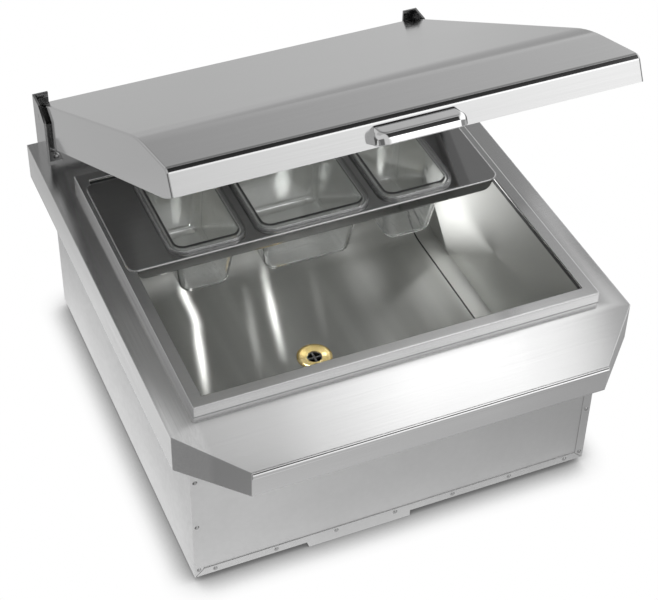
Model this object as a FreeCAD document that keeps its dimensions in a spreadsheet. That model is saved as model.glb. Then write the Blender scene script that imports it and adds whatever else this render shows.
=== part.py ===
import FreeCAD, Part
import math
import os
import Sketcher

# Drop-in cooler: a stainless counter unit with an insulated bin, a hinged
# insulated lid, and a loose tray that carries three clear pans.
# Millimetres. X runs to the right, Y to the rear and Z up. The origin is
# under the middle of the unit, on the plane that it stands on.

document = FreeCAD.newDocument("drop_in_cooler")
sheet = document.addObject("Spreadsheet::Sheet", "Sizes")
nodes = []


class Size:
    """A number together with the spreadsheet expression that gives it."""

    def __init__(self, number, text):
        self.number = number
        self.text = text

    def __add__(self, other):
        other = as_size(other)
        return Size(self.number + other.number, "(%s + %s)" % (self.text, other.text))

    def __radd__(self, other):
        return as_size(other) + self

    def __sub__(self, other):
        other = as_size(other)
        return Size(self.number - other.number, "(%s - %s)" % (self.text, other.text))

    def __rsub__(self, other):
        return as_size(other) - self

    def __mul__(self, other):
        other = as_size(other)
        return Size(self.number * other.number, "(%s * %s)" % (self.text, other.text))

    def __rmul__(self, other):
        return as_size(other) * self

    def __truediv__(self, other):
        other = as_size(other)
        return Size(self.number / other.number, "(%s / %s)" % (self.text, other.text))

    def __neg__(self):
        return Size(-self.number, "(0 - %s)" % self.text)


def as_size(value):
    if isinstance(value, Size):
        return value
    return Size(float(value), "(%r)" % float(value))


def size(name, number):
    """Add one driving size to the spreadsheet and return it."""
    row = size.row
    size.row = row + 1
    sheet.set("A%d" % row, name)
    sheet.set("B%d" % row, str(number))
    sheet.setAlias("B%d" % row, name)
    return Size(float(number), "Sizes." + name)


size.row = 1

# Deck and apron
deck_width = size("deck_width", 610)
deck_rear = size("deck_rear", 341)
deck_crease = size("deck_crease", -263)
deck_level = size("deck_level", 291)
deck_sheet = size("deck_sheet", 1.5)
flange_drop = size("flange_drop", 55.5)
apron_reach = size("apron_reach", 73.7)
apron_drop = size("apron_drop", 15.5)
corner_cut = size("corner_cut", 71.5)
bead_height = size("bead_height", 9.2)
bead_round = size("bead_round", 3.6)
bead_sink = size("bead_sink", 0.4)
bead_proud = size("bead_proud", 4.3)
bead_root = size("bead_root", 0.6)

# Opening, raised rim and bin
deck_side = size("deck_side", 51)
front_ledge = size("front_ledge", 35)
rear_ledge = size("rear_ledge", 129)
rim_width = size("rim_width", 16)
rim_height = size("rim_height", 16.4)
rim_sheet = size("rim_sheet", 1.2)
rim_inner_leg = size("rim_inner_leg", 3.4)
rim_round = size("rim_round", 1)
breaker_height = size("breaker_height", 6)
liner_sheet = size("liner_sheet", 1)
liner_flange = size("liner_flange", 9)
floor_insulation = size("floor_insulation", 77)
cove_radius = size("cove_radius", 50)
seam_offset = size("seam_offset", 28)
seam_width = size("seam_width", 2)
seam_height = size("seam_height", 0.6)
seam_rise = size("seam_rise", 6)

# Casing
casing_inset = size("casing_inset", 25)
casing_setback = size("casing_setback", 14)
casing_rear_inset = size("casing_rear_inset", 20)
casing_bottom = size("casing_bottom", 10)
casing_sheet = size("casing_sheet", 1)
strip_width = size("strip_width", 12)
mitre_gap = size("mitre_gap", 0.4)
channel_left_reach = size("channel_left_reach", 108)
channel_right_reach = size("channel_right_reach", 36)
foam_gap = size("foam_gap", 0.3)
foam_setback = size("foam_setback", 4)
foam_headroom = size("foam_headroom", 13)
rivet_margin = size("rivet_margin", 28)
rivet_side_pitch = size("rivet_side_pitch", 82)
rivet_first = size("rivet_first", 12)
rivet_head = size("rivet_head", 3.3)
rivet_crown = size("rivet_crown", 1.8)
rivet_dome = size("rivet_dome", 1.3)
rivet_shank = size("rivet_shank", 1.6)
rivet_hole = size("rivet_hole", 1.7)
rivet_tail = size("rivet_tail", 2.4)

# Drain
drain_across = size("drain_across", -14)
drain_along = size("drain_along", -8)
drain_flange = size("drain_flange", 25)
drain_lip = size("drain_lip", 2.4)
drain_edge = size("drain_edge", 1)
drain_dish = size("drain_dish", 1.5)
drain_slope = size("drain_slope", 4)
drain_throat = size("drain_throat", 11)
drain_throat_rise = size("drain_throat_rise", 0.8)
drain_throat_depth = size("drain_throat_depth", 9)
drain_bore_step = size("drain_bore_step", 2.4)
drain_tail = size("drain_tail", 16.6)
drain_spigot = size("drain_spigot", 15)
drain_tail_end = size("drain_tail_end", 2)
drain_clearance = size("drain_clearance", 0.3)
washer_reach = size("washer_reach", 27)
washer_thick = size("washer_thick", 3)
locknut_across = size("locknut_across", 27)
locknut_thick = size("locknut_thick", 9)
locknut_play = size("locknut_play", 0.1)
thread_spare = size("thread_spare", 3)
drain_access = size("drain_access", 32)
strainer_bar = size("strainer_bar", 2.6)
strainer_thick = size("strainer_thick", 3)
strainer_ring = size("strainer_ring", 1.5)
strainer_sink = size("strainer_sink", 1)

# Hinge brackets and pivots
bracket_inset = size("bracket_inset", 18.5)
bracket_plate = size("bracket_plate", 3)
bracket_depth = size("bracket_depth", 53)
bracket_height = size("bracket_height", 82)
bracket_slope_run = size("bracket_slope_run", 24)
bracket_slope_drop = size("bracket_slope_drop", 14)
bracket_flange = size("bracket_flange", 18.5)
bracket_screw_inset = size("bracket_screw_inset", 12)
bracket_screw_first = size("bracket_screw_first", 11)
bracket_screw_pitch = size("bracket_screw_pitch", 16)
bracket_screw_head = size("bracket_screw_head", 4.4)
bracket_screw_shank = size("bracket_screw_shank", 2.4)
bracket_screw_hole = size("bracket_screw_hole", 2.6)
bracket_screw_length = size("bracket_screw_length", 10)
pivot_setback = size("pivot_setback", 26.2)
pivot_height = size("pivot_height", 61.4)
pin_radius = size("pin_radius", 4)
pin_reach = size("pin_reach", 17)
pin_clearance = size("pin_clearance", 0.1)
washer_radius = size("washer_radius", 12)
washer_gap = size("washer_gap", 0.3)
bush_radius = size("bush_radius", 6)
bush_flange = size("bush_flange", 7.4)
bush_flange_thick = size("bush_flange_thick", 2)
bush_length = size("bush_length", 8.5)
bush_seat = size("bush_seat", 0.05)

# Lid
lid_side_gap = size("lid_side_gap", 4)
lid_overhang = size("lid_overhang", 42)
lid_depth = size("lid_depth", 61.4)
lid_sheet = size("lid_sheet", 1.2)
lid_pivot_inset = size("lid_pivot_inset", 9)
lid_pivot_depth = size("lid_pivot_depth", 17)
lid_slope_run = size("lid_slope_run", 108)
lid_slope_drop = size("lid_slope_drop", 26)
lid_bend = size("lid_bend", 250)
lid_lip_bend = size("lid_lip_bend", 9)
lid_rear_round = size("lid_rear_round", 5)
lid_edge = size("lid_edge", 2.8)
lid_lip_rise = size("lid_lip_rise", 3.9)
lid_lip_taper = size("lid_lip_taper", 34)
lid_return = size("lid_return", 16)
lid_rear_return = size("lid_rear_return", 12)
lid_recess = size("lid_recess", 15)
lid_foam_gap = size("lid_foam_gap", 0.3)
lid_foam_front = size("lid_foam_front", 10)
lid_foam_setback = size("lid_foam_setback", 30)
lid_pocket = size("lid_pocket", 24)
lid_pocket_drop = size("lid_pocket_drop", 19)
lid_pocket_play = size("lid_pocket_play", 5)
lid_rest_angle = size("lid_rest_angle", 29.6)

# Pull on the lid
pull_length = size("pull_length", 110)
pull_reach = size("pull_reach", 26)
pull_height = size("pull_height", 20)
pull_drop = size("pull_drop", 33.5)
pull_fall = size("pull_fall", 8)
pull_corner = size("pull_corner", 15)
pull_inner_corner = size("pull_inner_corner", 6)
pull_wall = size("pull_wall", 3.2)
pull_boss = size("pull_boss", 14)
pull_brow = size("pull_brow", 9)
pull_round = size("pull_round", 1.4)
pull_screw = size("pull_screw", 2)
pull_screw_head = size("pull_screw_head", 3.8)
pull_screw_head_thick = size("pull_screw_head_thick", 2.4)
pull_screw_drop = size("pull_screw_drop", 10)
pull_screw_bite = size("pull_screw_bite", 9)

# Tray and pans
tray_overlap = size("tray_overlap", 8)
tray_rear_gap = size("tray_rear_gap", 10)
tray_margin = size("tray_margin", 8)
tray_sheet = size("tray_sheet", 1.2)
tray_corner = size("tray_corner", 13)
tray_lip = size("tray_lip", 15)
tray_bend = size("tray_bend", 2.2)
tray_lip_play = size("tray_lip_play", 3)
tray_rear_lip = size("tray_rear_lip", 10)
tray_shift = size("tray_shift", -1.5)
pan_gap = size("pan_gap", 13)
pan_length = size("pan_length", 176)
small_pan_width = size("small_pan_width", 108)
large_pan_width = size("large_pan_width", 162)
pan_depth = size("pan_depth", 100)
pan_rim = size("pan_rim", 8)
pan_rim_height = size("pan_rim_height", 5)
pan_rim_corner = size("pan_rim_corner", 23)
pan_wall = size("pan_wall", 2.4)
pan_taper_long = size("pan_taper_long", 17)
pan_taper_wide = size("pan_taper_wide", 13)
pan_hole_play = size("pan_hole_play", 2)

# Cutting shapes run past the faces that they cut
past = size("past", 1)

document.recompute()

# Sizes that follow from the driving ones
half_deck = deck_width / 2
apron_front = deck_crease - apron_reach
apron_level = deck_level - apron_drop
flange_level = deck_level - flange_drop
deck_under = deck_level - deck_sheet
half_opening = half_deck - deck_side
opening_front = deck_crease + front_ledge
opening_rear = deck_rear - rear_ledge
half_rim = half_opening + rim_width
rim_front = opening_front - rim_width
rim_rear = opening_rear + rim_width
rim_top = deck_level + rim_height
breaker_top = rim_top - rim_inner_leg
liner_top = breaker_top - breaker_height
half_liner = half_opening + liner_sheet
half_casing = half_deck - casing_inset
casing_front = deck_crease + casing_setback
casing_rear = deck_rear - casing_rear_inset
half_inside = half_casing - casing_sheet
casing_floor = casing_bottom + casing_sheet
bin_floor = casing_floor + floor_insulation
strip_top = casing_bottom + strip_width
bracket_inside = half_deck - bracket_inset
bracket_front = deck_rear - bracket_depth
bracket_top = deck_level + bracket_height
pivot_along = deck_rear - pivot_setback
pivot_level = deck_level + pivot_height
half_lid = bracket_inside - lid_side_gap
tray_top = rim_top + tray_sheet

# A hair's breadth, for finding faces and edges by their place
hair = 0.01


def bind(thing, name, value):
    """Let one property follow the spreadsheet."""
    thing.setExpression(name, as_size(value).text)


def keep(thing, label):
    """Name a finished piece and put it on the list that is written out."""
    thing.Label = label
    nodes.append(thing)
    return thing


def start_body(label):
    body = document.addObject("PartDesign::Body", label)
    return keep(body, label)


def place(thing, across, along, level):
    bind(thing, "Placement.Base.x", across)
    bind(thing, "Placement.Base.y", along)
    bind(thing, "Placement.Base.z", level)


def start_sketch(body, role, offset):
    """A sketch on one of the body's own origin planes, moved along its normal."""
    sketch = body.newObject("Sketcher::SketchObject", "Sketch")
    for feature in body.Origin.OriginFeatures:
        if feature.Role == role:
            sketch.AttachmentSupport = (feature, [""])
    sketch.MapMode = "FlatFace"
    bind(sketch, "AttachmentOffset.Base.z", offset)
    return sketch


def fix_distance(sketch, kind, geometry, point, value):
    """Hold one point at a signed distance from the sketch origin."""
    value = as_size(value)
    index = sketch.addConstraint(Sketcher.Constraint(kind, -1, 1, geometry, point, value.number))
    bind(sketch, "Constraints[%d]" % index, value)


def fix_point(sketch, geometry, point, spot):
    fix_distance(sketch, "DistanceX", geometry, point, spot[0])
    fix_distance(sketch, "DistanceY", geometry, point, spot[1])


def fix_radius(sketch, geometry, radius):
    radius = as_size(radius)
    index = sketch.addConstraint(Sketcher.Constraint("Radius", geometry, radius.number))
    bind(sketch, "Constraints[%d]" % index, radius)


def draw_circle(sketch, across, up, radius):
    across = as_size(across)
    up = as_size(up)
    centre = FreeCAD.Vector(across.number, up.number, 0)
    circle = Part.Circle(centre, FreeCAD.Vector(0, 0, 1), as_size(radius).number)
    geometry = sketch.addGeometry(circle, False)
    fix_point(sketch, geometry, 3, (across, up))
    fix_radius(sketch, geometry, radius)


def draw_outline(sketch, corners):
    """A closed outline. Each corner is (across, up) or (across, up, radius)."""
    spots = []
    for corner in corners:
        spots.append(FreeCAD.Vector(as_size(corner[0]).number, as_size(corner[1]).number, 0))
    count = len(corners)
    starts = []
    ends = []
    arcs = []
    for index in range(count):
        here = spots[index]
        to_last = (spots[index - 1] - here).normalize()
        to_next = (spots[(index + 1) % count] - here).normalize()
        if len(corners[index]) == 2:
            ends.append(here)
            starts.append(here)
            arcs.append(None)
            continue
        radius = as_size(corners[index][2]).number
        half_angle = to_last.getAngle(to_next) / 2
        reach = radius / math.tan(half_angle)
        middle = here + (to_last + to_next).normalize() * (radius / math.sin(half_angle))
        crown = middle + (here - middle).normalize() * radius
        ends.append(here + to_last * reach)
        starts.append(here + to_next * reach)
        arcs.append(Part.Arc(here + to_last * reach, crown, here + to_next * reach))
    lines = []
    for index in range(count):
        line = Part.LineSegment(starts[index], ends[(index + 1) % count])
        lines.append(sketch.addGeometry(line, False))
    for index in range(count):
        before = lines[index - 1]
        after = lines[index]
        if arcs[index] is None:
            sketch.addConstraint(Sketcher.Constraint("Coincident", before, 2, after, 1))
            fix_point(sketch, after, 1, corners[index])
            continue
        corner = sketch.addGeometry(Part.Point(spots[index]), True)
        fix_point(sketch, corner, 1, corners[index])
        sketch.addConstraint(Sketcher.Constraint("PointOnObject", corner, 1, before))
        sketch.addConstraint(Sketcher.Constraint("PointOnObject", corner, 1, after))
        arc = sketch.addGeometry(arcs[index], False)
        join_arc(sketch, arc, before, 2, ends[index])
        join_arc(sketch, arc, after, 1, starts[index])
        fix_radius(sketch, arc, corners[index][2])


def join_arc(sketch, arc, line, line_point, spot):
    """Join a line end to whichever end of the arc lies there, tangent to it."""
    at_start = (sketch.getPoint(arc, 1) - spot).Length < hair
    arc_point = 1 if at_start else 2
    sketch.addConstraint(Sketcher.Constraint("Tangent", line, line_point, arc, arc_point))


def box_corners(left, right, low, high):
    return [(left, low), (right, low), (right, high), (left, high)]


def round_corners(left, right, low, high, radius):
    return [(left, low, radius), (right, low, radius), (right, high, radius), (left, high, radius)]


def extrude(body, kind, sketch, length, middle=False, back=False):
    """Pad or Pocket a sketch by a bound length."""
    feature = body.newObject("PartDesign::" + kind, kind)
    feature.Profile = sketch
    feature.Type = "Length"
    bind(feature, "Length", length)
    if middle:
        feature.SideType = "Symmetric"
    feature.Reversed = back
    sketch.Visibility = False
    body.Tip = feature
    return feature


def faces_where(feature, test):
    """Names of the flat faces whose centre passes a test."""
    document.recompute()
    names = []
    for index, face in enumerate(feature.Shape.Faces):
        if face.Surface.TypeId != "Part::GeomPlane":
            continue
        if test(face.CenterOfMass):
            names.append("Face%d" % (index + 1))
    return names


def edges_where(feature, test):
    """Names of the edges whose box passes a test."""
    document.recompute()
    names = []
    for index, edge in enumerate(feature.Shape.Edges):
        if test(edge.BoundBox):
            names.append("Edge%d" % (index + 1))
    return names


def shell(body, feature, test, thickness):
    """Hollow a body to a sheet that is open at the faces that pass the test."""
    hollow = body.newObject("PartDesign::Thickness", "Thickness")
    hollow.Base = (feature, faces_where(feature, test))
    hollow.Reversed = True
    hollow.Join = 1
    bind(hollow, "Value", thickness)
    body.Tip = hollow
    return hollow


def fillet(body, feature, test, radius):
    names = edges_where(feature, test)
    rounded = body.newObject("PartDesign::Fillet", "Fillet")
    rounded.Base = (feature, names)
    bind(rounded, "Radius", radius)
    body.Tip = rounded
    return rounded


def spin(body, sketch):
    """Turn a sketch about its own vertical axis."""
    feature = body.newObject("PartDesign::Revolution", "Revolution")
    feature.Profile = sketch
    feature.ReferenceAxis = (sketch, ["V_Axis"])
    feature.Angle = 360
    sketch.Visibility = False
    body.Tip = feature
    return feature


# Deck with its apron and the turned-down flange
apron_slope = apron_drop / apron_reach
apron_lean = 1 + apron_slope * apron_slope / 2
corner_slope = apron_reach / corner_cut
diagonal = math.sqrt(2)


def bracket_screw_spots(side):
    """Places of one bracket's two foot screws, as (across, along)."""
    across = side * (bracket_inside - bracket_screw_inset)
    first = bracket_front + bracket_screw_first
    return [(across, first), (across, first + bracket_screw_pitch)]


def deck_block(body, inset, base):
    """The outer form of the deck, or the room inside it one sheet smaller."""
    profile = start_sketch(body, "YZ_Plane", 0)
    draw_outline(profile, [
        (deck_rear - inset, base),
        (deck_rear - inset, deck_level - inset),
        (deck_crease + inset * apron_slope / 2, deck_level - inset),
        (apron_front + inset, apron_level + apron_slope * inset - inset * apron_lean),
        (apron_front + inset, base),
    ])
    extrude(body, "Pad", profile, deck_width - inset * 2, middle=True)
    outside = half_deck - inset * diagonal
    rear_end = deck_crease + corner_slope * past
    front_end = apron_front - corner_slope * past
    for side in (-1, 1):
        corner = start_sketch(body, "XY_Plane", deck_level + past)
        draw_outline(corner, [
            (side * (outside + past), rear_end),
            (side * (half_deck + past * 2), rear_end),
            (side * (half_deck + past * 2), front_end),
            (side * (outside - corner_cut - past), front_end),
        ])
        extrude(body, "Pocket", corner, deck_level - base + past * 2)


deck = start_body("deck_top")
deck_block(deck, as_size(0), flange_level)
under_deck = document.addObject("PartDesign::Body", "UnderDeck")
deck_block(under_deck, deck_sheet, flange_level - past)
folded = deck.newObject("PartDesign::Boolean", "Boolean")
folded.setObjects([under_deck])
folded.Type = "Cut"
deck.Tip = folded
hole = start_sketch(deck, "XY_Plane", deck_level + past)
draw_outline(hole, box_corners(
    rim_sheet - half_rim, half_rim - rim_sheet, rim_front + rim_sheet, rim_rear - rim_sheet))
for side in (-1, 1):
    for spot in bracket_screw_spots(side):
        draw_circle(hole, spot[0], spot[1], bracket_screw_hole)
extrude(deck, "Pocket", hole, deck_sheet + past * 2)
bead = start_sketch(deck, "YZ_Plane", 0)
draw_outline(bead, [
    (apron_front + bead_root, apron_level - bead_sink),
    (apron_front - bead_proud, apron_level - bead_sink, bead_round),
    (apron_front - bead_proud, apron_level - bead_sink - bead_height, bead_round),
    (apron_front + bead_root, apron_level - bead_sink - bead_height),
])
extrude(deck, "Pad", bead, (half_deck - corner_cut) * 2, middle=True)

# Raised rim round the opening, a folded channel open below
rim = start_body("coaming")
ring = start_sketch(rim, "XY_Plane", deck_level)
draw_outline(ring, box_corners(-half_rim, half_rim, rim_front, rim_rear))
draw_outline(ring, box_corners(-half_opening, half_opening, opening_front, opening_rear))
extrude(rim, "Pad", ring, rim_height)
inside = start_sketch(rim, "XY_Plane", deck_level)
draw_outline(inside, box_corners(
    rim_sheet - half_rim, half_rim - rim_sheet, rim_front + rim_sheet, rim_rear - rim_sheet))
extrude(rim, "Pocket", inside, rim_height - rim_inner_leg, back=True)
fold = start_sketch(rim, "XY_Plane", breaker_top)
draw_outline(fold, box_corners(
    rim_sheet - half_rim, half_rim - rim_sheet, rim_front + rim_sheet, rim_rear - rim_sheet))
draw_outline(fold, box_corners(
    -half_opening - rim_sheet, half_opening + rim_sheet,
    opening_front - rim_sheet, opening_rear + rim_sheet))
channel = extrude(rim, "Pocket", fold, rim_inner_leg - rim_sheet, back=True)


def on_rim_edge(box):
    """The top outer edges of the rim."""
    if box.ZMin < rim_top.number - hair:
        return False
    if box.XMin > half_rim.number - hair or box.XMax < hair - half_rim.number:
        return True
    return box.YMax < rim_front.number + hair or box.YMin > rim_rear.number - hair


fillet(rim, channel, on_rim_edge, rim_round)

# Plastic strip that parts the cold liner from the rim
breaker = start_body("breaker_strip")
ring = start_sketch(breaker, "XY_Plane", liner_top)
draw_outline(ring, box_corners(
    -half_liner - liner_flange, half_liner + liner_flange,
    opening_front - liner_sheet - liner_flange, opening_rear + liner_sheet + liner_flange))
draw_outline(ring, box_corners(-half_opening, half_opening, opening_front, opening_rear))
extrude(breaker, "Pad", ring, breaker_height)

# Bin liner with coved front and rear
liner = start_body("bin_liner")
outside = start_sketch(liner, "YZ_Plane", 0)
draw_outline(outside, [
    (opening_front - liner_sheet, liner_top),
    (opening_front - liner_sheet, bin_floor - liner_sheet, cove_radius + liner_sheet),
    (opening_rear + liner_sheet, bin_floor - liner_sheet, cove_radius + liner_sheet),
    (opening_rear + liner_sheet, liner_top),
])
extrude(liner, "Pad", outside, half_liner * 2, middle=True)
hollow = start_sketch(liner, "YZ_Plane", 0)
draw_outline(hollow, [
    (opening_front, liner_top + past),
    (opening_front, bin_floor, cove_radius),
    (opening_rear, bin_floor, cove_radius),
    (opening_rear, liner_top + past),
])
extrude(liner, "Pocket", hollow, half_opening * 2, middle=True)
ring = start_sketch(liner, "XY_Plane", liner_top - liner_sheet)
draw_outline(ring, box_corners(
    -half_liner - liner_flange, half_liner + liner_flange,
    opening_front - liner_sheet - liner_flange, opening_rear + liner_sheet + liner_flange))
draw_outline(ring, box_corners(-half_opening, half_opening, opening_front, opening_rear))
extrude(liner, "Pad", ring, liner_sheet)
hole = start_sketch(liner, "XY_Plane", bin_floor + past)
draw_circle(hole, drain_across, drain_along, drain_tail + drain_clearance)
extrude(liner, "Pocket", hole, liner_sheet + past * 2)

# Dark sealed seam beside the right wall, along the floor and up both coves
seam_top = bin_floor + cove_radius + seam_rise
seam = start_body("floor_seam_sealant")
bead = start_sketch(seam, "YZ_Plane", half_opening - seam_offset)
draw_outline(bead, [
    (opening_front, seam_top),
    (opening_front, bin_floor, cove_radius),
    (opening_rear, bin_floor, cove_radius),
    (opening_rear, seam_top),
])
extrude(seam, "Pad", bead, seam_width, middle=True)
above = start_sketch(seam, "YZ_Plane", half_opening - seam_offset)
draw_outline(above, [
    (opening_front + seam_height, seam_top + past),
    (opening_front + seam_height, bin_floor + seam_height, cove_radius - seam_height),
    (opening_rear - seam_height, bin_floor + seam_height, cove_radius - seam_height),
    (opening_rear - seam_height, seam_top + past),
])
extrude(seam, "Pocket", above, seam_width + past * 2, middle=True)

# Foam between the liner and the casing
foam = start_body("bin_insulation")
block = start_sketch(foam, "XY_Plane", casing_floor)
draw_outline(block, box_corners(
    foam_gap - half_inside, half_inside - foam_gap,
    casing_front + casing_sheet + foam_setback, casing_rear - casing_sheet - foam_setback))
extrude(foam, "Pad", block, deck_under - foam_headroom - casing_floor)
collar = start_sketch(foam, "XY_Plane", deck_under - foam_headroom)
draw_outline(collar, box_corners(
    foam_gap + rim_sheet - half_rim, half_rim - rim_sheet - foam_gap,
    rim_front + rim_sheet + foam_gap, rim_rear - rim_sheet - foam_gap))
extrude(foam, "Pad", collar, liner_top - liner_sheet - deck_under + foam_headroom)
hollow = start_sketch(foam, "YZ_Plane", 0)
draw_outline(hollow, [
    (opening_front - liner_sheet, liner_top + past),
    (opening_front - liner_sheet, bin_floor - liner_sheet, cove_radius + liner_sheet),
    (opening_rear + liner_sheet, bin_floor - liner_sheet, cove_radius + liner_sheet),
    (opening_rear + liner_sheet, liner_top + past),
])
extrude(foam, "Pocket", hollow, half_liner * 2, middle=True)
well = start_sketch(foam, "XY_Plane", bin_floor)
draw_circle(well, drain_across, drain_along, drain_access)
extrude(foam, "Pocket", well, bin_floor)


def rivet_spots(side):
    """Rivets up one corner strip, as (across, up)."""
    across = side * (half_casing - strip_width / 2)
    spots = []
    for step in range(3):
        spots.append((across, casing_bottom + rivet_first + rivet_side_pitch * step))
    return spots


def row_spots():
    """Rivets along the bottom strip, as (across, up)."""
    steps_each_way = 3
    pitch = (half_casing - rivet_margin) / steps_each_way
    spots = []
    for step in range(-steps_each_way, steps_each_way + 1):
        spots.append((pitch * step, casing_bottom + strip_width / 2))
    return spots


# Side panels, folded round the front and rear corners
for side, label in ((-1, "left_side_panel"), (1, "right_side_panel")):
    panel = start_body(label)
    plate = start_sketch(panel, "XY_Plane", casing_bottom)
    draw_outline(plate, box_corners(
        side * half_casing, side * half_inside,
        casing_front - casing_sheet, casing_rear + casing_sheet))
    extrude(panel, "Pad", plate, deck_under - casing_bottom)
    for offset in (casing_front - casing_sheet, casing_rear):
        strip = start_sketch(panel, "XZ_Plane", -offset)
        draw_outline(strip, [
            (side * half_casing, casing_bottom),
            (side * (half_casing - strip_width), strip_top),
            (side * (half_casing - strip_width), deck_under),
            (side * half_casing, deck_under),
        ])
        for spot in rivet_spots(side):
            draw_circle(strip, spot[0], spot[1], rivet_hole)
        extrude(panel, "Pad", strip, casing_sheet, back=True)

# Front and rear panels behind the corner strips
for label, offset in (("front_panel", casing_front), ("rear_panel", casing_rear - casing_sheet)):
    panel = start_body(label)
    plate = start_sketch(panel, "XZ_Plane", -offset)
    draw_outline(plate, box_corners(-half_inside, half_inside, casing_floor, deck_under))
    for spot in rivet_spots(-1) + rivet_spots(1) + row_spots():
        draw_circle(plate, spot[0], spot[1], rivet_hole)
    extrude(panel, "Pad", plate, casing_sheet, back=True)

# Bottom pan with a mitred strip at the front and the rear
pan = start_body("bottom_pan")
plate = start_sketch(pan, "XY_Plane", casing_bottom)
draw_outline(plate, box_corners(-half_inside, half_inside, casing_front, casing_rear))
draw_circle(plate, drain_across, drain_along, drain_access)
extrude(pan, "Pad", plate, casing_sheet)
for offset in (casing_front - casing_sheet, casing_rear):
    strip = start_sketch(pan, "XZ_Plane", -offset)
    draw_outline(strip, [
        (mitre_gap - half_inside, casing_bottom),
        (half_inside - mitre_gap, casing_bottom),
        (half_inside - strip_width - mitre_gap, strip_top),
        (strip_width + mitre_gap - half_inside, strip_top),
    ])
    for spot in row_spots():
        draw_circle(strip, spot[0], spot[1], rivet_hole)
    extrude(pan, "Pad", strip, casing_sheet, back=True)

# Shallow channel under the bottom pan, over the drain outlet
trough = start_body("drain_channel")
base = start_sketch(trough, "XY_Plane", 0)
draw_outline(base, box_corners(
    drain_across - channel_left_reach, drain_across + channel_right_reach,
    casing_front - casing_sheet, casing_rear + casing_sheet))
block = extrude(trough, "Pad", base, casing_bottom)
shell(trough, block, lambda spot: spot.z > casing_bottom.number - hair, casing_sheet)
hole = start_sketch(trough, "XY_Plane", casing_sheet + past)
draw_circle(hole, drain_across, drain_along, drain_access)
extrude(trough, "Pocket", hole, casing_sheet + past * 2)


def rivet_set(label, face, spots, outward):
    """Dome-headed rivets through two sheets, one piece each, in one node."""
    parts = []
    for spot in spots:
        shank = document.addObject("Part::Cylinder", "Shank")
        bind(shank, "Radius", rivet_shank)
        bind(shank, "Height", casing_sheet * 2)
        head = document.addObject("Part::Cone", "Head")
        bind(head, "Radius1", rivet_head)
        bind(head, "Radius2", rivet_crown)
        bind(head, "Height", rivet_dome)
        tail = document.addObject("Part::Cylinder", "Tail")
        bind(tail, "Radius", rivet_tail)
        bind(tail, "Height", rivet_dome)
        turn = FreeCAD.Rotation(FreeCAD.Vector(1, 0, 0), 90 * outward)
        back = FreeCAD.Rotation(FreeCAD.Vector(1, 0, 0), -90 * outward)
        for thing, along, way in (
                (shank, face, back), (head, face, turn), (tail, face + outward * casing_sheet * 2, back)):
            thing.Placement.Rotation = way
            place(thing, spot[0], along, spot[1])
        rivet = document.addObject("Part::MultiFuse", "Rivet")
        rivet.Shapes = [shank, head, tail]
        parts.append(rivet)
    group = document.addObject("Part::Compound", label)
    group.Links = parts
    return keep(group, label)


all_spots = rivet_spots(-1) + rivet_spots(1) + row_spots()
rivet_set("front_casing_rivets", casing_front - casing_sheet, all_spots, 1)
rivet_set("rear_casing_rivets", casing_rear + casing_sheet, all_spots, -1)

# Brass drain fitting: dished flange, throat, threaded tail and outlet spigot
thread_end = bin_floor - liner_sheet - washer_thick - locknut_thick - thread_spare
throat_end = bin_floor - drain_throat_depth
drain_bore = drain_throat + drain_bore_step
drain = start_body("drain_fitting")
turned = start_sketch(drain, "XZ_Plane", 0)
draw_outline(turned, [
    (drain_throat, throat_end),
    (drain_throat, bin_floor + drain_throat_rise),
    (drain_throat + drain_slope, bin_floor + drain_dish),
    (drain_flange - drain_slope, bin_floor + drain_lip),
    (drain_flange, bin_floor + drain_edge),
    (drain_flange, bin_floor),
    (drain_tail, bin_floor),
    (drain_tail, thread_end),
    (drain_spigot, thread_end),
    (drain_spigot, drain_tail_end),
    (drain_bore, drain_tail_end),
    (drain_bore, throat_end),
])
spin(drain, turned)
place(drain, drain_across, drain_along, 0)

# Strainer: a ring with crossed bars, set in the throat
strainer = start_body("drain_strainer")
strainer_level = bin_floor - strainer_thick - strainer_sink
ring = start_sketch(strainer, "XY_Plane", strainer_level)
draw_circle(ring, 0, 0, drain_throat)
draw_circle(ring, 0, 0, drain_throat - strainer_ring)
extrude(strainer, "Pad", ring, strainer_thick)
for long_way in (True, False):
    bar = start_sketch(strainer, "XY_Plane", strainer_level)
    reach = drain_throat - strainer_ring / 2
    if long_way:
        draw_outline(bar, box_corners(-reach, reach, -strainer_bar / 2, strainer_bar / 2))
    else:
        draw_outline(bar, box_corners(-strainer_bar / 2, strainer_bar / 2, -reach, reach))
    extrude(strainer, "Pad", bar, strainer_thick)
place(strainer, drain_across, drain_along, 0)

# Rubber washer and brass nut that clamp the fitting to the liner
washer = start_body("drain_washer")
ring = start_sketch(washer, "XY_Plane", bin_floor - liner_sheet - washer_thick)
draw_circle(ring, 0, 0, washer_reach)
draw_circle(ring, 0, 0, drain_tail + drain_clearance)
extrude(washer, "Pad", ring, washer_thick)
place(washer, drain_across, drain_along, 0)

locknut = start_body("drain_locknut")
hexagon_rise = locknut_across * (math.sqrt(3) / 2)
hexagon = start_sketch(locknut, "XY_Plane", bin_floor - liner_sheet - washer_thick - locknut_thick)
draw_outline(hexagon, [
    (locknut_across, 0),
    (locknut_across / 2, hexagon_rise),
    (-locknut_across / 2, hexagon_rise),
    (-locknut_across, 0),
    (-locknut_across / 2, -hexagon_rise),
    (locknut_across / 2, -hexagon_rise),
])
draw_circle(hexagon, 0, 0, drain_tail + locknut_play)
extrude(locknut, "Pad", hexagon, locknut_thick)
place(locknut, drain_across, drain_along, 0)

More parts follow.
